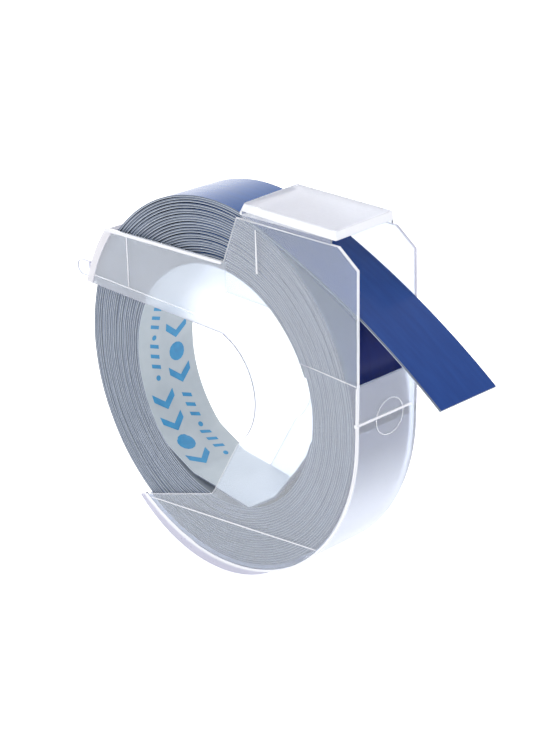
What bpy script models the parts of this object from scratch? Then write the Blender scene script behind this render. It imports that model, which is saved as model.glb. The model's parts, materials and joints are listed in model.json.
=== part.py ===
"""Refill cassette of embossing tape: a coreless coil of vinyl tape held in an open plastic cassette.

The coil lies in the XZ plane and turns about the Y axis. The tape leaves the coil near its top,
passes under the guide slab and hangs out on the +X side. Lengths are in metres, +Z is up.
"""

import math

import bpy

# Place of the coil's axis: the origin is under the middle of the whole assembly.
AXIS_X = -0.00504
AXIS_Z = 0.02413

# Tape, 9 mm class: vinyl strip with a peel-off liner under its adhesive side.
TAPE_WIDTH = 0.0088
VINYL_THICKNESS = 0.00025
LINER_THICKNESS = 0.0001
LINER_GAP = 0.00005
LEAVE_ANGLE = 72.0
COIL_RADIUS = 0.0225
TAIL_RADIUS = 0.1024
TAIL_SWEEP = 17.3
TAIL_START = 0.25

# Wound coil: round outside, with a hole that sits a little off the axis.
WOUND_RADIUS = 0.0218
HOLE_RADIUS = 0.01505
HOLE_SHIFT = 0.00085
TURN_GAP = 0.0003
INNER_TURN_START = -35.0
INNER_TURN_SWEEP = 335.0
OUTER_TURN_SWEEP = 335.0

# Cassette: two side plates on a curved outer wall, with a slab over the tape exit.
PLATE_THICKNESS = 0.00045
SIDE_CLEARANCE = 0.00015
JOIN_GAP = 0.0003
RIM_RADIUS = 0.02305
WALL_OUTER_RADIUS = 0.02295
WALL_THICKNESS = 0.0003
WALL_TOP = 0.0068
WALL_END_ANGLE = -124.0

# Flange: below the coil the rim widens into a second arc, centred off the axis.
FLANGE_RADIUS = 0.01945
FLANGE_SHIFT = 0.0048
FLANGE_DIRECTION = -103.0
FLANGE_FIRST = -57.0
FLANGE_LAST = -131.5
RIM_LAST = -63.0

# Side plate outline. The right edge leans in a little above the outer wall.
BLOCK_TOP = 0.0221
BLOCK_LEFT_TOP = 0.0045
BLOCK_LEFT_FOOT = 0.0023
CHAMFER_RUN = 0.0028
CHAMFER_FOOT = 0.0200
FRONT_LEAN = 0.0002
REAR_INSET = 0.0002
REAR_LEAN = 0.0005
CUT_CENTRE = (-0.00035, -0.00015)
CUT_RADIUS = 0.0074
CUT_LOW_ANGLE = -52.0
CUT_CORNER = (-0.0004, -0.0143)
CUT_FILLET = 0.0013

# Arms: straight straps across the open side of the coil, tied by a curved end wall.
ARM_ROOT = 0.0019
ARM_FOOT = 0.0070
ARM_TOP_ROOT = 0.0158
ARM_TOP_END = 0.0148
ARM_END_RADIUS = 0.0237
END_WALL_THICKNESS = 0.0005
TAB_CENTRE = (-0.0234, 0.00865)
TAB_RADIUS = 0.0010

# Guide slab over the tape exit.
SLAB_LEFT = 0.0044
SLAB_RIGHT = 0.0196
SLAB_THICKNESS = 0.00115
SLAB_FRONT_INSET = 0.0001
SLAB_REAR_INSET = 0.0003
SLAB_CORNER_CUT = 0.0007

CAVITY_HALF = TAPE_WIDTH / 2 + SIDE_CLEARANCE
PLATE_MIDDLE = CAVITY_HALF + PLATE_THICKNESS / 2
WALL_WIDTH = 2 * (CAVITY_HALF - JOIN_GAP)
ARC_STEP = 5.0


def clear_scene():
    """Remove the objects that a new scene starts with."""
    for item in list(bpy.data.objects):
        bpy.data.objects.remove(item, do_unlink=True)


def make_material(name, colour, roughness, alpha=1.0):
    """Plain plastic material with one colour."""
    material = bpy.data.materials.new(name)
    material.use_nodes = True
    shader = material.node_tree.nodes["Principled BSDF"]
    shader.inputs["Base Color"].default_value = (*colour, 1.0)
    shader.inputs["Roughness"].default_value = roughness
    shader.inputs["Metallic"].default_value = 0.0
    shader.inputs["Alpha"].default_value = alpha
    return material


def arc(radius, start, end, centre=(0.0, 0.0), step=ARC_STEP):
    """Points on a circle from one angle to another, in degrees, both ends included."""
    count = max(2, math.ceil(abs(end - start) / step) + 1)
    points = []
    for i in range(count):
        angle = math.radians(start + (end - start) * i / (count - 1))
        x = centre[0] + radius * math.cos(angle)
        z = centre[1] + radius * math.sin(angle)
        points.append((x, z))
    return points


def fillet(before, corner, after, radius, steps=6):
    """Points of a rounded corner between two straight edges."""
    to_before = math.atan2(before[1] - corner[1], before[0] - corner[0])
    to_after = math.atan2(after[1] - corner[1], after[0] - corner[0])
    turn = (to_after - to_before + math.pi) % (2 * math.pi) - math.pi
    reach = radius / math.sin(abs(turn) / 2)
    middle = to_before + turn / 2
    centre = (corner[0] + reach * math.cos(middle), corner[1] + reach * math.sin(middle))
    spread = math.copysign(math.pi - abs(turn), turn)
    first = middle + math.pi + spread / 2
    points = []
    for i in range(steps + 1):
        angle = first - spread * i / steps
        points.append((centre[0] + radius * math.cos(angle), centre[1] + radius * math.sin(angle)))
    return points


def band(inner, outer, start, end, centre=(0.0, 0.0), step=ARC_STEP):
    """Closed outline of a curved strip between two radii."""
    return arc(inner, start, end, centre, step) + arc(outer, end, start, centre, step)


def extruded(name, outlines, thickness, collection, material):
    """Curve object filled between closed outlines and given a thickness."""
    curve = bpy.data.curves.new(name, "CURVE")
    curve.dimensions = "2D"
    curve.fill_mode = "BOTH"
    curve.extrude = thickness / 2
    for outline in outlines:
        spline = curve.splines.new("POLY")
        spline.points.add(len(outline) - 1)
        spline.use_cyclic_u = True
        for point, (x, y) in zip(spline.points, outline):
            point.co = (x, y, 0.0, 1.0)
    curve.materials.append(material)
    item = bpy.data.objects.new(name, curve)
    collection.objects.link(item)
    return item


def add_flat(name, outlines, thickness, y, parent, collection, material):
    """Solid whose outline lies in the coil's plane, at a given y."""
    item = extruded(name, outlines, thickness, collection, material)
    item.parent = parent
    item.location = (0.0, y, 0.0)
    item.rotation_euler = (math.pi / 2, 0.0, 0.0)
    return item


def add_pivot(name, location, parent, collection):
    """Empty on a joint's axis, which carries the moving pieces."""
    pivot = bpy.data.objects.new(name, None)
    pivot.empty_display_size = 0.005
    pivot.parent = parent
    pivot.location = location
    collection.objects.link(pivot)
    return pivot


def flange_arc(inset):
    """Edge of the flange from the rim circle round to the lip."""
    angle = math.radians(FLANGE_DIRECTION)
    centre = (FLANGE_SHIFT * math.cos(angle), FLANGE_SHIFT * math.sin(angle))
    return arc(FLANGE_RADIUS - inset, FLANGE_FIRST, FLANGE_LAST, centre)


def side_plate_outline(inset, lean):
    """Side plate: block beside the tape exit, curved rim, and the opening onto the coil's hole."""
    rim = RIM_RADIUS - inset
    shoulder = rim - lean
    points = [(ARM_ROOT, ARM_TOP_ROOT), (BLOCK_LEFT_FOOT, ARM_TOP_ROOT)]
    points += [(BLOCK_LEFT_TOP, BLOCK_TOP), (shoulder - CHAMFER_RUN, BLOCK_TOP)]
    points += [(shoulder, CHAMFER_FOOT), (rim, WALL_TOP)]
    points += arc(rim, 0.0, RIM_LAST)
    points += flange_arc(inset)
    cut_low = arc(CUT_RADIUS, CUT_LOW_ANGLE, CUT_LOW_ANGLE + 1.0, CUT_CENTRE)[0]
    points += fillet(points[-1], CUT_CORNER, cut_low, CUT_FILLET)
    cut_high_angle = math.degrees(math.acos((ARM_ROOT - CUT_CENTRE[0]) / CUT_RADIUS))
    points += arc(CUT_RADIUS, CUT_LOW_ANGLE, cut_high_angle, CUT_CENTRE)
    return points


def arm_outline(inset):
    """Strap from the side plate to the end wall, with its end on the plate's rim circle."""
    end_radius = ARM_END_RADIUS - inset
    low_angle = 180.0 - math.degrees(math.asin(ARM_FOOT / end_radius))
    high_angle = 180.0 - math.degrees(math.asin(ARM_TOP_END / end_radius))
    root = ARM_ROOT - JOIN_GAP
    points = [(root, ARM_FOOT)]
    points += arc(end_radius, low_angle, high_angle)
    points += [(root, ARM_TOP_ROOT)]
    return points


def wall_outline():
    """Outer wall: it follows the coil below the axis and stands straight up above it."""
    outer = WALL_OUTER_RADIUS
    inner = outer - WALL_THICKNESS
    points = [(inner, WALL_TOP), (outer, WALL_TOP)]
    points += arc(outer, 0.0, WALL_END_ANGLE)
    points += arc(inner, WALL_END_ANGLE, 0.0)
    return points


def tab_outline():
    """Small rounded tab at the free end of the front arm, just clear of the arm's curved end."""
    root_radius = ARM_END_RADIUS + JOIN_GAP
    high = 180.0 - math.degrees(math.asin((TAB_CENTRE[1] + TAB_RADIUS) / root_radius))
    low = 180.0 - math.degrees(math.asin((TAB_CENTRE[1] - TAB_RADIUS) / root_radius))
    points = arc(TAB_RADIUS, 90.0, 270.0, TAB_CENTRE, step=15.0)
    points += arc(root_radius, low, high)
    return points


def slab_outline():
    """Guide slab seen from above: a rectangle with its front left corner cut off."""
    face = PLATE_MIDDLE + PLATE_THICKNESS / 2
    front = SLAB_FRONT_INSET - face
    rear = face - SLAB_REAR_INSET
    cut = SLAB_CORNER_CUT
    points = [(SLAB_LEFT + cut, front), (SLAB_RIGHT, front)]
    points += [(SLAB_RIGHT, rear), (SLAB_LEFT, rear), (SLAB_LEFT, front + cut)]
    return points


def build_cassette(root, collection):
    """The translucent cassette, wall by wall."""
    plastic = make_material("cassette_plastic", (0.80, 0.82, 0.90), 0.35, 0.55)
    front = ("front", -PLATE_MIDDLE, 0.0, FRONT_LEAN)
    rear = ("rear", PLATE_MIDDLE, REAR_INSET, REAR_LEAN)
    for side, y, inset, lean in (front, rear):
        plate = [side_plate_outline(inset, lean)]
        add_flat(side + "_side_plate", plate, PLATE_THICKNESS, y, root, collection, plastic)
        arm = [arm_outline(inset)]
        add_flat(side + "_arm", arm, PLATE_THICKNESS, y, root, collection, plastic)
    wall = [wall_outline()]
    add_flat("outer_wall", wall, WALL_WIDTH, 0.0, root, collection, plastic)
    outer = ARM_END_RADIUS - REAR_INSET
    inner = outer - END_WALL_THICKNESS
    end_low = 180.0 - math.degrees(math.asin(ARM_FOOT / outer))
    end_high = 180.0 - math.degrees(math.asin(ARM_TOP_END / outer))
    end_wall = [band(inner, outer, end_low, end_high)]
    add_flat("arm_end_wall", end_wall, WALL_WIDTH, 0.0, root, collection, plastic)
    tab = [tab_outline()]
    add_flat("arm_tab", tab, PLATE_THICKNESS, -PLATE_MIDDLE, root, collection, plastic)
    slab = extruded("guide_slab", [slab_outline()], SLAB_THICKNESS, collection, plastic)
    slab.parent = root
    slab.location = (0.0, 0.0, BLOCK_TOP + JOIN_GAP + SLAB_THICKNESS / 2)


def build_coil(root, collection, vinyl, liner):
    """The wound tape, which turns about the coil's axis."""
    pivot = add_pivot("coil_pivot", (0.0, 0.0, 0.0), root, collection)
    hole = (HOLE_SHIFT, 0.0)
    rings = [arc(WOUND_RADIUS, 0.0, 360.0)[:-1], arc(HOLE_RADIUS, 0.0, 360.0, hole)[:-1]]
    add_flat("wound_turns", rings, TAPE_WIDTH, 0.0, pivot, collection, vinyl)
    first = LEAVE_ANGLE + TAIL_START
    last = first + OUTER_TURN_SWEEP
    inner = COIL_RADIUS - VINYL_THICKNESS
    outer_turn = [band(inner, COIL_RADIUS, first, last)]
    add_flat("outer_turn", outer_turn, TAPE_WIDTH, 0.0, pivot, collection, vinyl)
    first = INNER_TURN_START
    last = first + INNER_TURN_SWEEP
    outer = HOLE_RADIUS - TURN_GAP
    inner = outer - VINYL_THICKNESS
    inner_turn = [band(inner, outer, first, last, hole)]
    add_flat("inner_turn_vinyl", inner_turn, TAPE_WIDTH, 0.0, pivot, collection, vinyl)
    outer = inner - LINER_GAP
    inner = outer - LINER_THICKNESS
    inner_liner = [band(inner, outer, first, last, hole)]
    add_flat("inner_turn_liner", inner_liner, TAPE_WIDTH, 0.0, pivot, collection, liner)


def build_tail(root, collection, vinyl, liner):
    """The free end of the tape: one shallow arc, which slides out about its own centre."""
    angle = math.radians(LEAVE_ANGLE)
    reach = COIL_RADIUS - TAIL_RADIUS
    centre = (reach * math.cos(angle), 0.0, reach * math.sin(angle))
    pivot = add_pivot("tail_pivot", centre, root, collection)
    first = LEAVE_ANGLE - TAIL_START
    last = LEAVE_ANGLE - TAIL_SWEEP
    inner = TAIL_RADIUS - VINYL_THICKNESS
    strip = [band(inner, TAIL_RADIUS, first, last, step=1.0)]
    add_flat("tail_vinyl", strip, TAPE_WIDTH, 0.0, pivot, collection, vinyl)
    outer = inner - LINER_GAP
    inner = outer - LINER_THICKNESS
    backing = [band(inner, outer, first, last, step=1.0)]
    add_flat("tail_liner", backing, TAPE_WIDTH, 0.0, pivot, collection, liner)


def main():
    """Build the whole refill."""
    clear_scene()
    collection = bpy.data.collections.new("embossing_tape_refill")
    bpy.context.scene.collection.children.link(collection)
    vinyl = make_material("blue_vinyl", (0.03, 0.08, 0.32), 0.25)
    liner = make_material("white_liner", (0.72, 0.74, 0.76), 0.55)
    root = add_pivot("coil_axis", (AXIS_X, 0.0, AXIS_Z), None, collection)
    build_cassette(root, collection)
    build_coil(root, collection, vinyl, liner)
    build_tail(root, collection, vinyl, liner)


main()
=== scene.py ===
"""Looks of the embossing tape refill: one frosted moulding, a wound coil and its free end.

Lengths in the building functions are millimetres measured from the coil's axis: x to the tape's
exit, z up, y to the rear. place() turns them into the frame's metres.
"""

import json
import math

import bmesh
import bpy
from mathutils import Matrix, Vector


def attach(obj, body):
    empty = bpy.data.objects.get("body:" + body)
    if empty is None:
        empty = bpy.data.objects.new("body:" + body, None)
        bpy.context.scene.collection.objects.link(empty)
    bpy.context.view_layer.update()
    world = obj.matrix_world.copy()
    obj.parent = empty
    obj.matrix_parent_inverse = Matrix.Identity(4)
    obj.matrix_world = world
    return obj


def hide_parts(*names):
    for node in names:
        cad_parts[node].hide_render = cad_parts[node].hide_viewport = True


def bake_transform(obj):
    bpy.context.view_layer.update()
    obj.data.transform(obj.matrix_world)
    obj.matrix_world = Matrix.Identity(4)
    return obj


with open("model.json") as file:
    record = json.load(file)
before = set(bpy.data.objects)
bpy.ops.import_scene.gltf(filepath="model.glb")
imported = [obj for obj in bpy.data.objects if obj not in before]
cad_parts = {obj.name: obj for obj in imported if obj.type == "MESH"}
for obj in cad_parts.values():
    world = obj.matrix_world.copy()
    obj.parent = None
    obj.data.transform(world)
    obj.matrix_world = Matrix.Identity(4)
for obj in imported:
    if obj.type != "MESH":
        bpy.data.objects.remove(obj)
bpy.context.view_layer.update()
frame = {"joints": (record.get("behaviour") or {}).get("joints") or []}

MM = 0.001
AXIS = next(Vector(joint["pos_m"]) for joint in frame["joints"] if joint["name"] == "coil_spin")

# Camera: direction from the coil's axis, and where it aims.
CAMERA_AZIMUTH = 45.94
CAMERA_ELEVATION = 23.53
CAMERA_ROLL = -0.46
CAMERA_DISTANCE = 0.2110
CAMERA_OFFSET = (0.00697, 0.00108)
CAMERA_LENS = 87.0

# Light: the brightest part of the surroundings.
BRIGHT_DIRECTION = (-0.9, 0.42, 0.05)
BRIGHTEST = 2.2
DIMMEST = 1.05

# Shading.
SHARP_ANGLE = 35.0
AXIS_ALIGNED = 0.999

# Tape.
HALF_TAPE = 4.4
VINYL = 0.21
LINER = 0.065
COIL_RADIUS = 22.5
HOLE_RADIUS = 15.1
HOLE_SHIFT = 0.85
LEAVE_ANGLE = 72.0
TAIL_RADIUS = 102.4
TAIL_START_ANGLE = 70.2
TAIL_END_ANGLE = 54.8
STEP = 2.0

# Cassette. FACE is half its whole width; the plates lie between INNER and SKIN, and ridges stand on SKIN.
PLASTIC_IOR = 1.45
FACE = 5.0
INNER = FACE - 0.45
SKIN = FACE - 0.07
BEVEL = 0.06
OVERLAP = 0.2
RIM = 23.05
REAR_INSET = 0.2
PLATE_LEFT = 1.9
PLATE_END = -124.8
WALL_OUTER = 22.95
WALL_INNER = 22.65
WALL_TOP = 6.8
GROOVE_LOW, GROOVE_HIGH = 1.15, 2.02
ARM_START = 2.6
ARM_LOW, ARM_HIGH = 7.0, 14.8
ARM_ROOT_HIGH = 15.8
ARM_END = 23.7
TAB_CENTRE = (-23.4, 8.65)
TAB_RADIUS = 1.0
RING_RADIUS = 2.2
RING_CENTRE = (0.4, 1.85)


def place(x, y, z):
    """A point in millimetres from the coil's axis, in the frame's metres."""
    return Vector((AXIS.x + x * MM, AXIS.y + y * MM, AXIS.z + z * MM))


def polar(radius, degrees, centre=(0.0, 0.0)):
    """Point (x, z) on a circle."""
    angle = math.radians(degrees)
    return (centre[0] + radius * math.cos(angle), centre[1] + radius * math.sin(angle))


def arc(radius, start, end, centre=(0.0, 0.0), step=2.5):
    """Points along a circle, both ends included."""
    count = max(1, math.ceil(abs(end - start) / step))
    return [polar(radius, start + (end - start) * i / count, centre) for i in range(count + 1)]


def left_angle(radius, height):
    """Angle at which the left half of a circle reaches a height."""
    return 180.0 - math.degrees(math.asin(height / radius))


def hump(value, middle, width):
    """Smooth bump of height 1 around middle, zero beyond width on either side."""
    offset = abs((value - middle + 180.0) % 360.0 - 180.0) / width
    return 0.5 + 0.5 * math.cos(math.pi * offset) if offset < 1.0 else 0.0


def wobble(value, seed):
    """Repeatable irregular number between -1 and 1 that changes slowly with value."""
    total = 0.0
    for octave, share in ((1.0, 0.5), (2.3, 0.3), (5.1, 0.2)):
        total += share * math.sin(value * octave + 12.9898 * seed * octave)
    return total


# ---------------------------------------------------------------- materials

# Noise mostly lies between these two values.
NOISE_LOW, NOISE_HIGH = 0.3, 0.7
VINYL_IOR = 1.22
STREAK_SHARE = 0.55
FLOOR_GLOW = 0.75


def new_material(name):
    """New Principled material, its node tree and its shader."""
    material = bpy.data.materials.new(name)
    material.use_nodes = True
    tree = material.node_tree
    return material, tree, tree.nodes["Principled BSDF"]


def add(tree, kind, **settings):
    """New node with its properties set."""
    node = tree.nodes.new(kind)
    for key, value in settings.items():
        setattr(node, key, value)
    return node


def noise(tree, source, scale, detail=3.0, stretch=None):
    """Noise read at an object or UV coordinate, optionally stretched."""
    node = add(tree, "ShaderNodeTexNoise")
    node.inputs["Scale"].default_value = scale
    node.inputs["Detail"].default_value = detail
    if stretch:
        mapping = add(tree, "ShaderNodeMapping")
        mapping.inputs["Scale"].default_value = stretch
        tree.links.new(source, mapping.inputs["Vector"])
        source = mapping.outputs["Vector"]
    tree.links.new(source, node.inputs["Vector"])
    return node.outputs["Fac"]


def ramp(tree, factor, stops):
    """Colour ramp over a factor: stops are (position, colour)."""
    node = add(tree, "ShaderNodeValToRGB")
    elements = node.color_ramp.elements
    while len(elements) < len(stops):
        elements.new(0.5)
    for element, (position, colour) in zip(elements, stops):
        element.position = position
        element.color = (*colour, 1.0)
    tree.links.new(factor, node.inputs["Fac"])
    return node.outputs["Color"]


def blend_colours(tree, factor, low, high):
    """Colour that varies with noise, from low to high."""
    return ramp(tree, factor, ((NOISE_LOW, low), (NOISE_HIGH, high)))


def spread(tree, factor, low, high):
    """Noise mapped to low..high."""
    node = add(tree, "ShaderNodeMapRange")
    node.inputs["From Min"].default_value = NOISE_LOW
    node.inputs["From Max"].default_value = NOISE_HIGH
    node.inputs["To Min"].default_value = low
    node.inputs["To Max"].default_value = high
    tree.links.new(factor, node.inputs["Value"])
    return node.outputs["Result"]


def bump(tree, shader, height, strength, distance):
    """Bump from a height into the shader's normal."""
    node = add(tree, "ShaderNodeBump")
    node.inputs["Strength"].default_value = strength
    node.inputs["Distance"].default_value = distance
    tree.links.new(height, node.inputs["Height"])
    tree.links.new(node.outputs["Normal"], shader.inputs["Normal"])


def object_coordinates(tree):
    """The object's own coordinates, in metres."""
    return add(tree, "ShaderNodeTexCoord").outputs["Object"]


def frosted(name, light, shade, transmission, rough):
    """Translucent plastic: part of the light goes straight through, the rest scatters milkily."""
    material, tree, shader = new_material(name)
    source = object_coordinates(tree)
    cloud = noise(tree, source, 220.0, 3.0)
    grain = noise(tree, source, 2600.0, 2.0)
    tree.links.new(blend_colours(tree, cloud, shade, light), shader.inputs["Base Color"])
    tree.links.new(spread(tree, grain, rough * 0.9, rough * 1.1), shader.inputs["Roughness"])
    shader.inputs["Transmission Weight"].default_value = transmission
    shader.inputs["IOR"].default_value = PLASTIC_IOR
    return material


def vinyl(name, low, high):
    """Glossy blue vinyl with faint streaks along the tape."""
    material, tree, shader = new_material(name)
    source = object_coordinates(tree)
    streak = noise(tree, source, 220.0, 3.0, (1.0, 6.0, 1.0))
    grain = noise(tree, source, 1500.0, 2.0)
    tree.links.new(blend_colours(tree, streak, low, high), shader.inputs["Base Color"])
    tree.links.new(spread(tree, streak, 0.17, 0.24), shader.inputs["Roughness"])
    shader.inputs["IOR"].default_value = VINYL_IOR
    bump(tree, shader, grain, 0.05, 0.00002)
    return material


def winding_edge(name, dark, light, dense):
    """Cut edges of the wound strip: streaks that follow the winding."""
    material, tree, shader = new_material(name)
    source = add(tree, "ShaderNodeUVMap", uv_map="Winding").outputs["UV"]
    streak = noise(tree, source, 1.0, 3.0, (dense, 2.5, 1.0))
    fine = noise(tree, source, 1.0, 3.0, (dense * 9.0, 5.0, 1.0))
    mixed = add(tree, "ShaderNodeMath", operation="MULTIPLY_ADD")
    mixed.inputs[1].default_value = STREAK_SHARE
    tree.links.new(streak, mixed.inputs[0])
    rest = add(tree, "ShaderNodeMath", operation="MULTIPLY")
    rest.inputs[1].default_value = 1.0 - STREAK_SHARE
    tree.links.new(fine, rest.inputs[0])
    tree.links.new(rest.outputs[0], mixed.inputs[2])
    colour = ramp(tree, mixed.outputs[0], ((0.36, dark), (0.64, light)))
    tree.links.new(colour, shader.inputs["Base Color"])
    tree.links.new(spread(tree, streak, 0.5, 0.75), shader.inputs["Roughness"])
    bump(tree, shader, fine, 0.3, 0.00003)
    return material


def liner(name, painted_light=False):
    """Smooth release paper, slightly cool, with fibres; paler in the loose stretch of the inner turn, which
    is painted light where light falls on it.
    """
    material, tree, shader = new_material(name)
    source = object_coordinates(tree)
    cloud = noise(tree, source, 300.0, 4.0)
    fibre = noise(tree, source, 1800.0, 3.0)
    colour = blend_colours(tree, cloud, (0.39, 0.44, 0.49), (0.45, 0.50, 0.54))
    # Painted light: the liner is painted paler along the loose stretch of the inner turn.
    if painted_light:
        along = add(tree, "ShaderNodeSeparateXYZ")
        tree.links.new(add(tree, "ShaderNodeUVMap", uv_map="Winding").outputs["UV"], along.inputs[0])
        pale = ramp(tree, along.outputs["X"], PAINTED_LIGHT_STRETCH)
        mixed = add(tree, "ShaderNodeMix", data_type="RGBA")
        tree.links.new(pale, mixed.inputs[0])
        tree.links.new(colour, mixed.inputs[6])
        mixed.inputs[7].default_value = (*PAINTED_LIGHT_LINER, 1.0)
        colour = mixed.outputs[2]
    tree.links.new(colour, shader.inputs["Base Color"])
    tree.links.new(spread(tree, fibre, 0.40, 0.55), shader.inputs["Roughness"])
    bump(tree, shader, fibre, 0.08, 0.00002)
    return material


def ink(name):
    """Light blue printing ink, a little uneven."""
    material, tree, shader = new_material(name)
    source = object_coordinates(tree)
    patch = noise(tree, source, 900.0, 3.0)
    colour = blend_colours(tree, patch, (0.022, 0.21, 0.44), (0.04, 0.28, 0.53))
    tree.links.new(colour, shader.inputs["Base Color"])
    tree.links.new(spread(tree, patch, 0.45, 0.6), shader.inputs["Roughness"])
    return material


def studio_floor(name):
    """Pale matt floor that glows a little, so that it stays as white as the surroundings."""
    material, tree, shader = new_material(name)
    cloud = noise(tree, object_coordinates(tree), 4.0, 2.0)
    colour = blend_colours(tree, cloud, (0.62, 0.62, 0.62), (0.64, 0.64, 0.64))
    tree.links.new(colour, shader.inputs["Base Color"])
    shader.inputs["Roughness"].default_value = 0.9
    shader.inputs["Emission Color"].default_value = (1.0, 1.0, 1.0, 1.0)
    shader.inputs["Emission Strength"].default_value = FLOOR_GLOW
    return material


# Painted light on the inner turn's liner: where along the turn it is painted paler, as shares of the turn,
# and how pale it is there.
PAINTED_LIGHT_STRETCH = ((0.735, (0.0, 0.0, 0.0)), (0.812, (1.0, 1.0, 1.0)), (0.87, (0.0, 0.0, 0.0)))
PAINTED_LIGHT_LINER = (0.66, 0.71, 0.75)
# Frosted plastics. They differ a little, because thick and thin places of the moulding look different; the
# plate over the exit chamber is tinted bluer, painted shade under the free end.
CLEAR_LIGHT, CLEAR_SHADE = (0.875, 0.92, 1.0), (0.86, 0.91, 0.99)
WALL_LIGHT, WALL_SHADE = (0.825, 0.875, 1.0), (0.81, 0.865, 0.99)
CORNER_LIGHT, CORNER_SHADE = (0.80, 0.885, 1.0), (0.785, 0.875, 0.99)
CHAMBER_LIGHT, CHAMBER_SHADE = (0.77, 0.865, 1.0), (0.755, 0.855, 0.99)
EDGE_LIGHT, EDGE_SHADE = (0.79, 0.80, 0.85), (0.76, 0.77, 0.82)
MILKY_LIGHT, MILKY_SHADE = (0.68, 0.675, 0.72), (0.65, 0.645, 0.695)
DIM_LIGHT, DIM_SHADE = (0.53, 0.53, 0.64), (0.50, 0.50, 0.615)
SLAB_LIGHT, SLAB_SHADE = (0.78, 0.79, 0.85), (0.755, 0.765, 0.83)
GROOVE_LIGHT, GROOVE_SHADE = (0.84, 0.89, 0.96), (0.82, 0.87, 0.95)
PLATE_PLASTIC = frosted("frosted_plate", CLEAR_LIGHT, CLEAR_SHADE, 0.87, 0.06)
EDGE_PLASTIC = frosted("frosted_edge", EDGE_LIGHT, EDGE_SHADE, 0.20, 0.2)
WALL_CLARITY, WALL_ROUGHNESS = 0.80, 0.31
WALL_PLASTIC = frosted("frosted_wall", WALL_LIGHT, WALL_SHADE, WALL_CLARITY, WALL_ROUGHNESS)
SLAB_PLASTIC = frosted("frosted_slab", SLAB_LIGHT, SLAB_SHADE, 0.75, 0.45)
ARM_PLASTIC = frosted("frosted_arm", CLEAR_LIGHT, CLEAR_SHADE, 0.82, 0.31)
GROOVE_PLASTIC = frosted("frosted_groove", GROOVE_LIGHT, GROOVE_SHADE, 0.90, 0.31)
DIM_PLASTIC = frosted("frosted_cut_edge", DIM_LIGHT, DIM_SHADE, 0.25, 0.3)
MILKY_PLASTIC = frosted("frosted_milky", MILKY_LIGHT, MILKY_SHADE, 0.20, 0.4)
CORNER_PLASTIC = frosted("frosted_corner", CORNER_LIGHT, CORNER_SHADE, 0.89, 0.17)
# Bluer plate over the exit chamber: painted shade under the free end.
SHADE_PAINTED_CHAMBER_PLASTIC = frosted("frosted_chamber_painted_shade", CHAMBER_LIGHT, CHAMBER_SHADE, 0.87, 0.31)
# The outer wall turns milkier and whiter downwards, in bands of BAND_DEGREES: painted light from the floor
# below.
WALL_BANDS = 8
BAND_DEGREES = 2.5
BAND_LOSS = 0.031
WALL_BAND_PLASTICS = tuple(
    frosted(f"frosted_wall_{band}", WALL_LIGHT, WALL_SHADE, WALL_CLARITY - BAND_LOSS * band, WALL_ROUGHNESS)
    for band in range(1, WALL_BANDS + 1)
)
CASSETTE_MATERIALS = (
    PLATE_PLASTIC, EDGE_PLASTIC, WALL_PLASTIC, SLAB_PLASTIC, ARM_PLASTIC, GROOVE_PLASTIC, DIM_PLASTIC,
    MILKY_PLASTIC, CORNER_PLASTIC, SHADE_PAINTED_CHAMBER_PLASTIC, *WALL_BAND_PLASTICS,
)
PLATE_SLOT, EDGE_SLOT, WALL_SLOT, SLAB_SLOT, ARM_SLOT, GROOVE_SLOT, DIM_SLOT, MILKY_SLOT = range(8)
CORNER_SLOT, CHAMBER_SLOT, BAND_SLOT = 8, 9, 10
VINYL_FACE = vinyl("blue_vinyl", (0.004, 0.034, 0.178), (0.006, 0.042, 0.205))
# Copies of the blue vinyl: a darker one, painted shade for the coil in the exit chamber, and a lighter one,
# painted light for the coil in the open.
SHADE_PAINTED_VINYL = vinyl("blue_vinyl_painted_shade", (0.005, 0.012, 0.098), (0.006, 0.015, 0.118))
LIGHT_PAINTED_VINYL = vinyl("blue_vinyl_painted_light", (0.003, 0.052, 0.200), (0.004, 0.060, 0.235))
VINYL_EDGE = winding_edge("vinyl_cut_edge", (0.014, 0.025, 0.060), (0.20, 0.24, 0.32), 8.0)
LINER_EDGE = winding_edge("liner_cut_edge", (0.20, 0.24, 0.30), (0.56, 0.61, 0.69), 10.0)
LINER_FACE = liner("release_liner")
# The inner turn's liner carries the painted light stretch.
INNER_LINER = liner("release_liner_inner", True)
INK = ink("print_ink")


# ---------------------------------------------------------------- mesh helpers


def finish_mesh(name, mesh_data, materials, body, smooth=SHARP_ANGLE):
    """Object from a bmesh in metres: materials, shading and body."""
    mesh = bpy.data.meshes.new(name)
    mesh_data.to_mesh(mesh)
    mesh_data.free()
    for material in materials:
        mesh.materials.append(material)
    item = bpy.data.objects.new(name, mesh)
    bpy.context.scene.collection.objects.link(item)
    if smooth:
        mesh.shade_smooth()
        mesh.set_sharp_from_angle(angle=math.radians(smooth))
    if body:
        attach(item, body)
    return item


def solid(name, shape):
    """Object from a bmesh with the cassette's materials."""
    bmesh.ops.recalc_face_normals(shape, faces=shape.faces)
    mesh = bpy.data.meshes.new(name)
    shape.to_mesh(mesh)
    shape.free()
    for material in CASSETTE_MATERIALS:
        mesh.materials.append(material)
    item = bpy.data.objects.new(name, mesh)
    bpy.context.scene.collection.objects.link(item)
    return item


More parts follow.
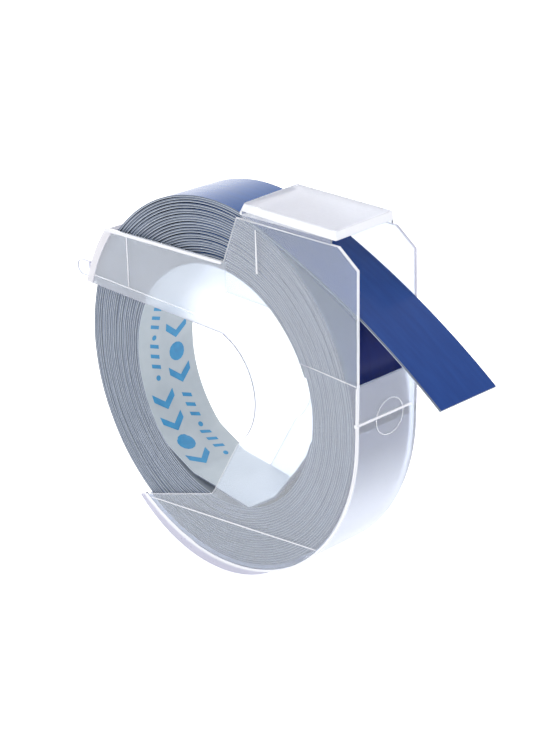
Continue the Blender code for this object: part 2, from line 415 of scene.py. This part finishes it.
def extrude(name, low_ring, high_ring, cap_slot, side_slot, bevel, rim_slot):
    """Closed solid between two rings of points, its rims bevelled."""
    shape = bmesh.new()
    bottom = [shape.verts.new(point) for point in low_ring]
    top = [shape.verts.new(point) for point in high_ring]
    caps = [shape.faces.new(bottom), shape.faces.new(list(reversed(top)))]
    for cap in caps:
        cap.material_index = cap_slot
    for i in range(len(bottom)):
        j = (i + 1) % len(bottom)
        side = shape.faces.new((bottom[j], bottom[i], top[i], top[j]))
        side.material_index = side_slot
    bmesh.ops.recalc_face_normals(shape, faces=shape.faces)
    if bevel:
        rim = [edge for cap in caps for edge in cap.edges]
        bmesh.ops.bevel(
            shape, geom=rim, offset=bevel * MM, segments=2, profile=0.6, affect="EDGES", material=rim_slot
        )
    return solid(name, shape)


def prism(
    name, outline, low, high, cap_slot=PLATE_SLOT, side_slot=EDGE_SLOT, bevel=BEVEL, rim_slot=EDGE_SLOT
):
    """Closed solid between two y planes."""
    low_ring = [place(x, low, z) for x, z in outline]
    high_ring = [place(x, high, z) for x, z in outline]
    return extrude(name, low_ring, high_ring, cap_slot, side_slot, bevel, rim_slot)


def plate_layer(name, side, outline, proud, deep, *look):
    """Prism in a side plate's thickness: proud moves its outer face outwards, deep its inner face inwards."""
    low, high = sorted((side * (INNER - deep), side * (SKIN + proud)))
    return prism(name, outline, low, high, *look)


def union(name, parts):
    """One closed mesh from overlapping solids, which are removed. Its flat faces are shaded flat."""
    base, others = parts[0], parts[1:]
    group = bpy.data.collections.new(name + "_parts")
    bpy.context.scene.collection.children.link(group)
    for part in others:
        group.objects.link(part)
    modifier = base.modifiers.new("union", "BOOLEAN")
    modifier.operation = "UNION"
    modifier.operand_type = "COLLECTION"
    modifier.solver = "EXACT"
    modifier.collection = group
    graph = bpy.context.evaluated_depsgraph_get()
    mesh = bpy.data.meshes.new_from_object(base.evaluated_get(graph))
    for part in parts:
        bpy.data.objects.remove(part, do_unlink=True)
    bpy.data.collections.remove(group)
    mesh.name = name
    item = bpy.data.objects.new(name, mesh)
    bpy.context.scene.collection.objects.link(item)
    mesh.shade_smooth()
    mesh.set_sharp_from_angle(angle=math.radians(SHARP_ANGLE))
    for face in mesh.polygons:
        if max(abs(value) for value in face.normal) > AXIS_ALIGNED:
            face.use_smooth = False
    return item


# ---------------------------------------------------------------- cassette


def plate_outline(inset, lean):
    """C-shaped side plate with the block over the tape exit."""
    rim = RIM - inset
    shoulder = rim - lean
    points = [(PLATE_LEFT, ARM_LOW), (PLATE_LEFT, ARM_ROOT_HIGH), (2.25, 15.95)]
    points += [(4.45, 21.55), (shoulder - 2.8, 22.0), (shoulder, 20.0), (rim, WALL_TOP)]
    points += arc(rim, 0.0, PLATE_END)
    round_corner = [(-1.3, -14.62), (-0.55, -14.25), (-0.05, -13.5)]
    cut_out = arc(7.4, -52.0, 71.5, (-0.35, -0.15), 5.0)
    return points + round_corner + cut_out


def flange_outline(inset):
    """Thin flange that stands out below the coil."""
    outer = arc(19.45 - inset, -58.0, -131.5, polar(4.8, -103.0))
    return outer + [(-13.0, -18.9)] + arc(RIM - 0.3, PLATE_END, -66.0)


def arm_outline(inset):
    """Straight arm across the open side of the coil."""
    end = ARM_END - inset
    tip = arc(end, left_angle(end, ARM_LOW), left_angle(end, ARM_HIGH))
    return [(ARM_START, ARM_LOW)] + tip + [(ARM_START, ARM_ROOT_HIGH)]


def wall_outline():
    """Outer wall, straight above the axis and round below it."""
    end = -124.0
    heights = (GROOVE_LOW, GROOVE_HIGH, WALL_TOP)
    up = [(WALL_INNER, z) for z in heights]
    down = [(WALL_OUTER, z) for z in reversed(heights)]
    return up + down + arc(WALL_OUTER, 0.0, end) + arc(WALL_INNER, end, 0.0)


def end_wall_outline():
    """Curved wall that ties the two arms together."""
    outer, inner = 23.5, 23.0
    low, high = left_angle(outer, ARM_LOW), left_angle(outer, ARM_HIGH)
    return arc(outer, low, high) + arc(inner, high, low)


def tab_outline():
    """Small rounded tab on the front arm."""
    root, height = -22.0, TAB_CENTRE[1]
    rounded = arc(TAB_RADIUS, 90.0, 270.0, TAB_CENTRE, 15.0)
    return rounded + [(root, height - TAB_RADIUS), (root, height + TAB_RADIUS)]


def line_outline(x0, z0, x1, z1, start_width, end_width):
    """Narrow straight ridge between two points, tapering."""
    length = math.hypot(x1 - x0, z1 - z0)
    nx, nz = -(z1 - z0) / length / 2, (x1 - x0) / length / 2
    return [
        (x0 + nx * start_width, z0 + nz * start_width), (x1 + nx * end_width, z1 + nz * end_width),
        (x1 - nx * end_width, z1 - nz * end_width), (x0 - nx * start_width, z0 - nz * start_width),
    ]


def ridge(x0, z0, x1, z1, start_width=0.16, end_width=0.16, side=-1.0, high=0.07, slot=EDGE_SLOT):
    """Ridge moulded on a side plate's outer face."""
    low, top = sorted((side * (FACE - OVERLAP), side * (SKIN + high)))
    outline = line_outline(x0, z0, x1, z1, start_width, end_width)
    return prism("ridge", outline, low, top, slot, slot, 0.0)


def slab():
    """Guide slab over the exit: it rises a little to the right, and its left front corner is clipped.

    Its front and right faces get the whiter edge plastic, a painted highlight.
    """
    shape = bmesh.new()
    foot = [(4.5, -4.5), (5.0, -4.86), (19.7, -4.86), (19.2, 4.7), (4.3, 4.7)]
    head = [(5.3, -4.4), (6.0, -4.76), (19.6, -4.76), (19.1, 4.6), (4.5, 4.6)]
    bottom = [shape.verts.new(place(x, y, 21.75 + 0.037 * x)) for x, y in foot]
    top = [shape.verts.new(place(x, y, 23.3 + 0.0125 * x)) for x, y in head]
    shape.faces.new(list(reversed(bottom)))
    shape.faces.new(top)
    for i in range(len(foot)):
        j = (i + 1) % len(foot)
        shape.faces.new((bottom[i], bottom[j], top[j], top[i]))
    bmesh.ops.recalc_face_normals(shape, faces=shape.faces)
    bmesh.ops.bevel(shape, geom=list(shape.edges), offset=0.2 * MM, segments=3, profile=0.6, affect="EDGES")
    shape.normal_update()
    # Painted highlight: faces turned to the front and to the right get the whiter edge plastic.
    for face in shape.faces:
        painted_highlight = face.normal.x > 0.6 or face.normal.y < -0.6
        face.material_index = EDGE_SLOT if painted_highlight else SLAB_SLOT
    return solid("slab", shape)


def gate_mark():
    """Small blob left by the moulding gate on the slab's front edge."""
    shape = bmesh.new()
    bmesh.ops.create_icosphere(shape, subdivisions=2, radius=0.2 * MM)
    middle = place(7.9, -4.55, 23.3)
    for vert in shape.verts:
        vert.co = middle + Vector((vert.co.x * 1.5, vert.co.y, vert.co.z))
    for face in shape.faces:
        face.material_index = EDGE_SLOT
    return solid("gate", shape)


def wall_ring():
    """Round raised ring on the outside of the wall: a low profile of (radius, x) turned round its centre."""
    shape = bmesh.new()
    count = 48
    root, shoulder, crest = WALL_OUTER - 0.05, WALL_OUTER + 0.03, WALL_OUTER + 0.05
    inside = 2.11
    profile = (
        (RING_RADIUS, root), (RING_RADIUS, shoulder), (2.18, crest),
        (2.13, crest), (inside, shoulder), (inside, root),
    )
    sections = []
    for i in range(count):
        angle = math.tau * i / count
        ring = []
        for radius, x in profile:
            y = RING_CENTRE[0] + radius * math.cos(angle)
            z = RING_CENTRE[1] + radius * math.sin(angle)
            ring.append(shape.verts.new(place(x, y, z)))
        sections.append(ring)
    for i in range(count):
        here, there = sections[i], sections[(i + 1) % count]
        for k in range(len(profile)):
            m = (k + 1) % len(profile)
            shape.faces.new((here[k], here[m], there[m], there[k])).material_index = EDGE_SLOT
    return solid("ring", shape)


def wall_bar():
    """Ridge across the wall, above the groove."""
    low, high, slope = GROOVE_HIGH, 2.46, 0.08
    root, crest = WALL_OUTER - 0.05, WALL_OUTER + 0.06
    outline = [(root, low), (crest, low + slope), (crest, high - slope), (root, high)]
    return prism("bar", outline, -FACE + 0.02, 3.9, EDGE_SLOT, EDGE_SLOT, 0.0)


def ridge_end():
    """Rounded front end of the wall's ridge, on the plate's rim."""
    shape = bmesh.new()
    bmesh.ops.create_icosphere(shape, subdivisions=3, radius=0.3 * MM)
    middle = place(22.85, -4.75, 2.2)
    for vert in shape.verts:
        vert.co = middle + vert.co
    for face in shape.faces:
        face.material_index = EDGE_SLOT
    return solid("ridge_end", shape)


def mark_wall(wall):
    """Gives the groove under the wall's ridge the clearer plastic, and the lower bands the milkier ones,
    painted light from the floor below.
    """
    low, high = place(0, 0, GROOVE_LOW).z, place(0, 0, GROOVE_HIGH).z
    for face in wall.data.polygons:
        if low < face.center.z < high and abs(face.normal.x) > 0.9:
            face.material_index = GROOVE_SLOT
        angle = math.degrees(math.atan2(face.center.z - AXIS.z, face.center.x - AXIS.x))
        # Painted light: the lower bands get the milkier, whiter plastic.
        band = min(WALL_BANDS, int((-angle - 2.0) / BAND_DEGREES))
        if face.material_index == WALL_SLOT and band > 0:
            face.material_index = BAND_SLOT + band - 1
    return wall


def mark_cut_edges(item):
    """Gives the plate's cut-out and the arm's lower edge the greyer plastic."""
    for face in item.data.polygons:
        x, z = (face.center.x - AXIS.x) / MM, (face.center.z - AXIS.z) / MM
        cut_out = math.hypot(x, z) < 15.0 and z > -7.5
        arm_edge = x < PLATE_LEFT + 0.3 and ARM_LOW - 0.2 < z < ARM_LOW + 0.3
        if face.material_index == EDGE_SLOT and (cut_out or arm_edge):
            face.material_index = DIM_SLOT
    return item


def corner_outline(inset):
    """Part of a side plate that stands over the tape exit, outside the coil."""
    right = RIM - inset - 0.17
    shoulder = right - (0.2 if inset == 0.0 else 0.5)
    points = [(21.4, WALL_TOP), (right, WALL_TOP), (shoulder, 19.9), (shoulder - 2.7, 21.86), (6.1, 21.47)]
    return points + arc(22.45, LEAVE_ANGLE, 17.8)


def chamber_outline():
    """Part of the front plate between the coil and the underside of the free end."""
    right = RIM - 0.2
    centre = polar(COIL_RADIUS - TAIL_RADIUS, LEAVE_ANGLE)
    under_tail = arc(TAIL_RADIUS - 0.35, 68.8, 62.45, centre)
    return arc(22.42, 17.9, 60.0) + under_tail + [(right - 0.12, 14.2), (right, 6.85)]


def arm_end_outline():
    """Thick end of the front arm."""
    outer, inner = ARM_END - 0.02, 22.6
    low, high = ARM_LOW + 0.05, ARM_HIGH - 0.05
    outer_side = arc(outer, left_angle(outer, low), left_angle(outer, high))
    return outer_side + arc(inner, left_angle(inner, high), left_angle(inner, low))


def side_ridges(side):
    """Ridges that both side plates have."""
    return [
        ridge(-18.6, 14.65, 2.0, 15.62, 0.42, 0.36, side, 0.08),
        ridge(-11.8, -18.85, 0.45, -17.3, 0.12, 0.17, side, 0.05),
        ridge(0.4, -17.31, 16.9, -15.2, 0.17, 0.12, side, 0.05),
    ]


def front_ridges():
    """Ridges and scribed lines of the front plate and the front arm."""
    scribed = 0.02
    return [
        ridge(7.6, 20.9, 7.78, 15.8, 0.12, 0.26),
        ridge(-14.6, 14.6, -14.5, 8.3, 0.16, 0.1),
        ridge(-22.0, 8.2, 1.9, 8.2, 0.1, 0.1, -1.0, scribed),
        ridge(15.9, 7.1, 22.9, 6.9, 0.07, 0.12, -1.0, scribed),
        ridge(2.2, 7.03, 15.8, 7.1, 0.05, 0.06, -1.0, scribed, DIM_SLOT),
    ]


def build_cassette():
    """The whole moulding as one closed mesh.

    Neighbouring parts end a hundredth of a millimetre or more apart, so that no two faces coincide.
    """
    front, rear = -1.0, 1.0
    wall_low, wall_high = -INNER - OVERLAP, INNER + OVERLAP
    corner = (CORNER_SLOT, CORNER_SLOT, 0.0)
    chamber = (CHAMBER_SLOT, CHAMBER_SLOT, 0.0)
    milky = (MILKY_SLOT, MILKY_SLOT)
    dim = (DIM_SLOT, DIM_SLOT, BEVEL, DIM_SLOT)
    solids = [
        mark_cut_edges(plate_layer("front", front, plate_outline(0.0, 0.2), 0.0, 0.0)),
        plate_layer("rear", rear, plate_outline(REAR_INSET, 0.5), 0.0, 0.0, PLATE_SLOT, *dim[1:]),
        mark_cut_edges(plate_layer("front_arm", front, arm_outline(0.0), 0.01, 0.01, ARM_SLOT)),
        plate_layer("rear_arm", rear, arm_outline(REAR_INSET), 0.01, 0.01, ARM_SLOT),
        plate_layer("front_corner", front, corner_outline(0.0), 0.012, 0.012, *corner),
        plate_layer("rear_corner", rear, corner_outline(REAR_INSET), 0.012, 0.012, *corner),
        plate_layer("front_chamber", front, chamber_outline(), 0.015, 0.015, *chamber),
        plate_layer("front_end", front, arm_end_outline(), 0.03, 0.03, *milky, BEVEL, DIM_SLOT),
        plate_layer("front_flange", front, flange_outline(0.0), 0.02, 0.0, *dim),
        plate_layer("rear_flange", rear, flange_outline(REAR_INSET), 0.02, 0.0, *dim),
        mark_wall(prism("wall", wall_outline(), wall_low, wall_high, EDGE_SLOT, WALL_SLOT, 0.0)),
        prism("end_wall", end_wall_outline(), wall_low, wall_high, *milky, 0.05),
        plate_layer("tab", front, tab_outline(), -0.02, -0.02, GROOVE_SLOT, *dim[1:]),
        slab(),
        gate_mark(),
        wall_ring(),
        wall_bar(),
        ridge_end(),
    ]
    neck = [(5.4, 21.7), (18.9, 21.9), (18.9, 22.5), (5.4, 22.5)]
    for side in (front, rear):
        solids.append(plate_layer("neck", side, neck, -0.05, -0.05, PLATE_SLOT, PLATE_SLOT, 0.0))
        solids += side_ridges(side)
        band_low, band_high = sorted((side * (SKIN - 0.1), side * (FACE - 0.02)))
        rim_inset, rim_slot = (REAR_INSET, DIM_SLOT) if side == rear else (0.0, EDGE_SLOT)
        solids.append(prism("rim_band", rim_outline(rim_inset), band_low, band_high, rim_slot, rim_slot, 0.0))
    solids += front_ridges()
    cassette = union("cassette_moulding", solids)
    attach(cassette, "cassette")
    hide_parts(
        "front_side_plate", "rear_side_plate", "outer_wall", "front_arm", "rear_arm",
        "arm_end_wall", "arm_tab", "guide_slab",
    )


def rim_outline(inset):
    """Raised rim band: broad beside the flange, with a small step, then narrow up the right side."""
    edge, thin, top = RIM - inset - 0.02, RIM - inset - 0.17, WALL_TOP - 0.1
    outer = [(edge, top)] + arc(edge, 0.0, PLATE_END)
    broad = arc(RIM - 0.62, -124.0, -101.0) + arc(RIM - 0.45, -99.0, -84.0)
    taper = [polar(RIM - 0.45 + (0.28 - inset) * i / 10, -84.0 + 2.9 * i) for i in range(1, 10)]
    narrow = arc(thin, -55.0, 0.0) + [(thin, top)]
    return outer + broad + taper + narrow


# ---------------------------------------------------------------- tape


# Material slots of the pieces of tape, and those of a layer's outer, front, inner and rear faces.
VINYL_INDEX, VINYL_CUT_INDEX, LINER_CUT_INDEX, LINER_INDEX, LIGHT_PAINTED_INDEX = range(5)
VINYL_SIDES = (VINYL_INDEX, VINYL_CUT_INDEX, VINYL_INDEX, VINYL_CUT_INDEX)
LINER_SIDES = (LINER_INDEX, LINER_CUT_INDEX, LINER_INDEX, LINER_CUT_INDEX)


def strip_section(shape, ring, previous, materials, uv_layer, along, last_along):
    """Four faces between two cross-sections of a strip: outer, front, inner, rear."""
    for side in range(4):
        other = (side + 1) % 4
        face = shape.faces.new((previous[side], previous[other], ring[other], ring[side]))
        face.material_index = materials[side]
        spans = (last_along, last_along, along, along)
        across = (0.0, 1.0, 1.0, 0.0)
        for loop, u, v in zip(face.loops, spans, across):
            loop[uv_layer].uv = (u, v + side)


def add_strip(shape, uv_layer, samples, materials):
    """Closed strip through cross-sections: how far along, and its four corners as corners_at gives them."""
    previous = None
    last = 0.0
    for along, corners in samples:
        ring = [shape.verts.new(corner) for corner in corners]
        if previous:
            strip_section(shape, ring, previous, materials, uv_layer, along, last)
        else:
            shape.faces.new(list(reversed(ring))).material_index = materials[1]
        previous, last = ring, along
    shape.faces.new(previous).material_index = materials[1]


def corners_at(outer, inner, front, rear):
    """Cross-section from an outer and an inner (x, z) point and two y values."""
    return (
        place(outer[0], rear, outer[1]),
        place(outer[0], front, outer[1]),
        place(inner[0], front, inner[1]),
        place(inner[0], rear, inner[1]),
    )


# The spiral runs inwards from LEAVE_ANGLE, and its inner end tucks under the turn before it.
JOIN_ANGLE = 352.0
TURNS = 23 + (JOIN_ANGLE - LEAVE_ANGLE) / 360.0
TUCK_HEIGHT = 0.28
TUCK_DEGREES = 12.0
# How far the turns stray from the spiral, and how much further where they lie loosely.
STRAY, LOOSE_STRAY = 0.018, 0.03
# The outer turn stands off the coil a little in the exit chamber.
BULGE_HEIGHT, BULGE_ANGLE, BULGE_WIDTH = 0.35, 24.0, 10.0
# Outside EXIT_ANGLE the outer turn lies in the open and gets a lighter copy of the vinyl, painted light;
# inside it, in the exit chamber under the free end, it keeps a darker copy, painted shade.
EXIT_ANGLE = 60.0


def slack(angle):
    """How loosely the turns lie at an angle: 1 at the top of the coil, 0 elsewhere."""
    return hump(angle, 100.0, 62.0)


def winding_point(turns, depth):
    """Point of the spiral after a number of turns inwards, at a depth below its outer face."""
    share = turns / TURNS
    angle = LEAVE_ANGLE + 360.0 * turns
    radius = COIL_RADIUS - (COIL_RADIUS - HOLE_RADIUS) * share - depth
    radius += (STRAY + LOOSE_STRAY * slack(angle)) * wobble(turns * 7.0, 1.0) * min(1.0, turns)
    if turns < 1.0:
        radius += BULGE_HEIGHT * hump(angle, BULGE_ANGLE, BULGE_WIDTH)
    radius += TUCK_HEIGHT * max(0.0, 1.0 - (TURNS - turns) * 360.0 / TUCK_DEGREES)
    return polar(radius, angle, (HOLE_SHIFT * share, 0.0))


def vinyl_depth(turns):
    """Visible thickness of the vinyl: the turns part a little where they lie loosely."""
    angle = LEAVE_ANGLE + 360.0 * turns
    return VINYL - 0.012 - 0.055 * slack(angle) + 0.02 * wobble(turns * 17.0, 4.0)


def edge_shift(turns, seed):
    """How far a turn's edge stands back, which differs from turn to turn."""
    slow = wobble(turns * 1.7, seed)
    quick = wobble(turns * 23.0, seed + 3.0)
    return 0.08 + 0.06 * slow + 0.04 * quick


def build_windings():
    """The coil: one continuous strip of vinyl and liner wound about 23 times."""
    shape = bmesh.new()
    uv_layer = shape.loops.layers.uv.new("Winding")
    count = round(TURNS * 360.0 / STEP)
    vinyl_samples, liner_samples = [], []
    for i in range(count + 1):
        turns = TURNS * i / count
        front = -HALF_TAPE + edge_shift(turns, 1.0)
        rear = HALF_TAPE - edge_shift(turns, 2.0)
        depth = vinyl_depth(turns)
        outer, inner = winding_point(turns, 0.0), winding_point(turns, depth)
        vinyl_samples.append((turns, corners_at(outer, inner, front, rear)))
        outer, inner = winding_point(turns, depth), winding_point(turns, depth + LINER)
        front -= 0.02 + 0.02 * wobble(turns * 11.0, 5.0)
        liner_samples.append((turns, corners_at(outer, inner, front, rear)))
    add_strip(shape, uv_layer, vinyl_samples, VINYL_SIDES)
    add_strip(shape, uv_layer, liner_samples, LINER_SIDES)
    bmesh.ops.recalc_face_normals(shape, faces=shape.faces)
    # Painted light and shade: vinyl faces in the open get the lighter copy, those in the exit chamber keep
    # the darker copy.
    for face in shape.faces:
        centre = face.calc_center_median()
        angle = math.degrees(math.atan2(centre.z - AXIS.z, centre.x - AXIS.x))
        if face.material_index == VINYL_INDEX and abs(angle) > EXIT_ANGLE:
            face.material_index = LIGHT_PAINTED_INDEX
    materials = (SHADE_PAINTED_VINYL, VINYL_EDGE, LINER_EDGE, LINER_FACE, LIGHT_PAINTED_VINYL)
    windings = finish_mesh("coil_windings", shape, materials, "coil")
    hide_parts("wound_turns", "outer_turn")


# Innermost turn: (angle, radius of the liner's face) about the hole's centre. It lies round from its free
# end to the first kink, and straight from kink to kink after that, where it has come loose.
LOOSE_FROM = 228.0
ROUND_RADIUS = 14.68
KINKS = (
    (LOOSE_FROM, ROUND_RADIUS), (248.0, 14.02), (265.0, 13.42), (288.5, 14.8), (309.0, 14.24), (334.0, 14.15),
    (344.0, 14.72), (JOIN_ANGLE, 15.04),
)
VINYL_END = 27.0
LINER_END = 21.0
JOIN_FADE = 10.0


def chord_radius(angle, start, end):
    """Distance from the centre to the straight line between two polar points, along an angle."""
    ax, az = polar(start[1], start[0])
    bx, bz = polar(end[1], end[0])
    ux, uz = polar(1.0, angle)
    return (ax * (bz - az) - az * (bx - ax)) / (ux * (bz - az) - uz * (bx - ax))


def inner_radius(angle):
    """Radius of the innermost liner face."""
    if angle < LOOSE_FROM:
        lift = 0.3 * max(0.0, 1.0 - angle / 45.0)
        return ROUND_RADIUS + lift + 0.03 * wobble(math.radians(angle) * 2.0, 3.0)
    for start, end in zip(KINKS, KINKS[1:]):
        if angle <= end[0]:
            return chord_radius(angle, start, end)
    return KINKS[-1][1]


def inner_point(angle, height):
    """Point of the innermost turn at a height outside its liner face."""
    return polar(inner_radius(angle) + height, angle, (HOLE_SHIFT, 0.0))


def inner_strip(shape, uv_layer, first, low, high, half, materials):
    """One layer of the innermost turn, thinning where it joins the coil."""
    count = round((JOIN_ANGLE - first) / STEP)
    samples = []
    for i in range(count + 1):
        angle = first + (JOIN_ANGLE - first) * i / count
        thin = min(1.0, max(0.02, (JOIN_ANGLE - angle) / JOIN_FADE))
        outer, inner = inner_point(angle, high * thin), inner_point(angle, low * thin)
        samples.append((i / count, corners_at(outer, inner, -half, half)))
    add_strip(shape, uv_layer, samples, materials)


def build_inner_turn():
    """Innermost turn, whose printed liner faces the hole."""
    shape = bmesh.new()
    uv_layer = shape.loops.layers.uv.new("Winding")
    inner_strip(shape, uv_layer, VINYL_END, LINER, LINER + VINYL, HALF_TAPE - 0.08, VINYL_SIDES)
    inner_strip(shape, uv_layer, LINER_END, 0.0, LINER, HALF_TAPE - 0.02, LINER_SIDES)
    bmesh.ops.recalc_face_normals(shape, faces=shape.faces)
    materials = (VINYL_FACE, VINYL_EDGE, LINER_EDGE, INNER_LINER)
    turn = finish_mesh("inner_turn", shape, materials, "coil")
    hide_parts("inner_turn_vinyl", "inner_turn_liner")


# Printed stretches of the inner liner, in mm along it, and the heights of the two rows of marks.
PRINT_STRETCHES = ((12.4, 26.0), (40.5, 63.5), (76.0, 87.0))
PRINT_RADIUS = 14.6
PRINT_LIFT = 0.012
SMALL_ROW, BIG_ROW = -1.9, 1.6
BIG_MARKS, SMALL_MARKS = 4, 8
BIG_STEP, SMALL_STEP = 2.9, 1.3
GROUP_GAP = 0.8
CHEVRON_LENGTH, CHEVRON_WIDTH = 3.3, 1.0
BAR_LENGTH, BAR_WIDTH = 1.35, 0.5
DISC_RADIUS, DOT_RADIUS = 1.2, 0.35
# Bars on the turn behind, which shows where the innermost turn has come loose.
LOOSE_BARS = 9
LOOSE_BARS_FROM = 236.0
LOOSE_BAR_STEP = 3.0


def print_mark(shape, outline):
    """Flat mark on the inner liner: outline of (distance along in mm, y in mm)."""
    verts = []
    for along, y in outline:
        x, z = inner_point(math.degrees(along / PRINT_RADIUS), -PRINT_LIFT)
        verts.append(shape.verts.new(place(x, y, z)))
    shape.faces.new(verts)


def slanted_bar(shape, along, y, length, width):
    """Leaning bar across the tape."""
    half = length / 2
    lean = 0.35 * half
    start = [(along - lean, y - half), (along + width - lean, y - half)]
    end = [(along + width + lean, y + half), (along + lean, y + half)]
    print_mark(shape, start + end)


def chevron(shape, along, y, length, width):
    """Arrow head pointing along the tape, as two leaning strokes."""
    half = length / 2
    tip = along + half * 0.8
    print_mark(shape, [(along, y - half), (along + width, y - half), (tip + width, y), (tip, y)])
    print_mark(shape, [(tip, y), (tip + width, y), (along + width, y + half), (along, y + half)])


def dot(shape, along, y, radius):
    """Round dot."""
    count = 14
    turns = [math.tau * i / count for i in range(count)]
    print_mark(shape, [(along + radius * math.cos(turn), y + radius * math.sin(turn)) for turn in turns])


def print_row(shape, y, first, last, big):
    """Row of marks: big chevrons and a disc, then small bars and dots, over and over."""
    along = first
    while along < last:
        for i in range(BIG_MARKS if big else SMALL_MARKS):
            step = BIG_STEP if big else SMALL_STEP
            if along + step > last:
                return
            if big and i == 2:
                dot(shape, along + DISC_RADIUS, y, DISC_RADIUS)
            elif big:
                chevron(shape, along, y, CHEVRON_LENGTH, CHEVRON_WIDTH)
            elif i % 4 == 3:
                dot(shape, along + 0.4, y, DOT_RADIUS)
            else:
                slanted_bar(shape, along, y, BAR_LENGTH, BAR_WIDTH)
            along += step
        along += GROUP_GAP
        big = not big


def build_print():
    """Generic light blue marks on the liner: two rows in each printed stretch, and the bars behind."""
    shape = bmesh.new()
    for first, last in PRINT_STRETCHES:
        print_row(shape, SMALL_ROW, first, last, False)
        print_row(shape, BIG_ROW, first, last, True)
    for i in range(LOOSE_BARS):
        ring = []
        for along, y in ((0.0, -4.25), (0.55, -4.25), (0.25, -2.4), (-0.3, -2.4)):
            angle = LOOSE_BARS_FROM + LOOSE_BAR_STEP * i + math.degrees(along / HOLE_RADIUS)
            x, z = polar(HOLE_RADIUS - 0.03, angle, (HOLE_SHIFT, 0.0))
            ring.append(shape.verts.new(place(x, y, z)))
        shape.faces.new(ring)
    finish_mesh("liner_print", shape, (INK,), "coil", 0.0)


def tail_point(angle, depth):
    """Point on the free end's arc, at a depth below its outer face."""
    reach = COIL_RADIUS - TAIL_RADIUS
    return polar(TAIL_RADIUS - depth, angle, polar(reach, LEAVE_ANGLE))


def tape_piece(name, first, last, body):
    """Piece of tape on the free end's arc: vinyl over liner, the liner a hair wider."""
    shape = bmesh.new()
    uv_layer = shape.loops.layers.uv.new("Winding")
    half, liner_half = HALF_TAPE, HALF_TAPE + 0.03
    liner_depth = VINYL + 0.01
    count = max(4, math.ceil(abs(last - first) / 0.5))
    vinyl_samples, liner_samples = [], []
    for i in range(count + 1):
        share = i / count
        angle = first + (last - first) * share
        outer, inner = tail_point(angle, 0.0), tail_point(angle, VINYL)
        vinyl_samples.append((share * 0.1, corners_at(outer, inner, -half, half)))
        outer, inner = tail_point(angle, liner_depth), tail_point(angle, liner_depth + LINER)
        liner_samples.append((share * 0.1, corners_at(outer, inner, -liner_half, liner_half)))
    add_strip(shape, uv_layer, vinyl_samples, VINYL_SIDES)
    add_strip(shape, uv_layer, liner_samples, LINER_SIDES)
    bmesh.ops.recalc_face_normals(shape, faces=shape.faces)
    materials = (VINYL_FACE, VINYL_EDGE, LINER_EDGE, LINER_FACE)
    return finish_mesh(name, shape, materials, body)


def build_tail():
    """Free end of the tape, and the lead that joins it to the coil."""
    tail = tape_piece("tape_tail", TAIL_START_ANGLE, TAIL_END_ANGLE, "tail")
    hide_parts("tail_vinyl", "tail_liner")
    lead = tape_piece("tape_lead", LEAVE_ANGLE, TAIL_START_ANGLE, None)
    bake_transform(lead)


# ---------------------------------------------------------------- studio


def build_floor():
    """Large pale floor just under the lowest edge."""
    shape = bmesh.new()
    bmesh.ops.create_grid(shape, x_segments=2, y_segments=2, size=3.0)
    mesh = bpy.data.meshes.new("studio_floor")
    shape.to_mesh(mesh)
    shape.free()
    mesh.materials.append(studio_floor("studio_floor"))
    floor = bpy.data.objects.new("studio_floor", mesh)
    bpy.context.scene.collection.objects.link(floor)
    floor.location.z = -0.0002


def build_light():
    """White surroundings, brighter low behind the coil, where its glossy top mirrors them."""
    world = bpy.data.worlds.new("studio")
    bpy.context.scene.world = world
    world.use_nodes = True
    tree = world.node_tree
    direction = add(tree, "ShaderNodeTexCoord").outputs["Generated"]
    towards = add(tree, "ShaderNodeVectorMath", operation="DOT_PRODUCT")
    towards.inputs[1].default_value = Vector(BRIGHT_DIRECTION).normalized()
    tree.links.new(direction, towards.inputs[0])
    glow = add(tree, "ShaderNodeMapRange", interpolation_type="SMOOTHSTEP")
    glow.inputs["From Min"].default_value = -0.5
    glow.inputs["From Max"].default_value = 1.0
    glow.inputs["To Min"].default_value = DIMMEST
    glow.inputs["To Max"].default_value = BRIGHTEST
    tree.links.new(towards.outputs["Value"], glow.inputs["Value"])
    background = tree.nodes["Background"]
    background.inputs["Color"].default_value = (1.0, 1.0, 1.0, 1.0)
    tree.links.new(glow.outputs["Result"], background.inputs["Strength"])


def build_camera():
    """Camera at the photograph's angle."""
    azimuth, elevation = math.radians(CAMERA_AZIMUTH), math.radians(CAMERA_ELEVATION)
    roll = math.radians(CAMERA_ROLL)
    back = Vector((
        math.sin(azimuth) * math.cos(elevation),
        -math.cos(azimuth) * math.cos(elevation),
        math.sin(elevation),
    ))
    right = Vector((math.cos(azimuth), math.sin(azimuth), 0.0))
    up = back.cross(right)
    turned_right = math.cos(roll) * right + math.sin(roll) * up
    turned_up = math.cos(roll) * up - math.sin(roll) * right
    centre = place(0.0, -4.5, 0.0) + CAMERA_OFFSET[0] * turned_right + CAMERA_OFFSET[1] * turned_up
    data = bpy.data.cameras.new("camera")
    data.lens = CAMERA_LENS
    data.sensor_width = 36.0
    data.clip_start = 0.01
    data.clip_end = 20.0
    camera = bpy.data.objects.new("camera", data)
    axes = Matrix((turned_right, turned_up, back)).transposed()
    camera.matrix_world = Matrix.Translation(centre + back * CAMERA_DISTANCE) @ axes.to_4x4()
    bpy.context.scene.collection.objects.link(camera)
    bpy.context.scene.camera = camera


build_cassette()
build_windings()
build_inner_turn()
build_print()
build_tail()
build_floor()
build_light()
build_camera()
bpy.context.scene.view_settings.view_transform = "Standard"
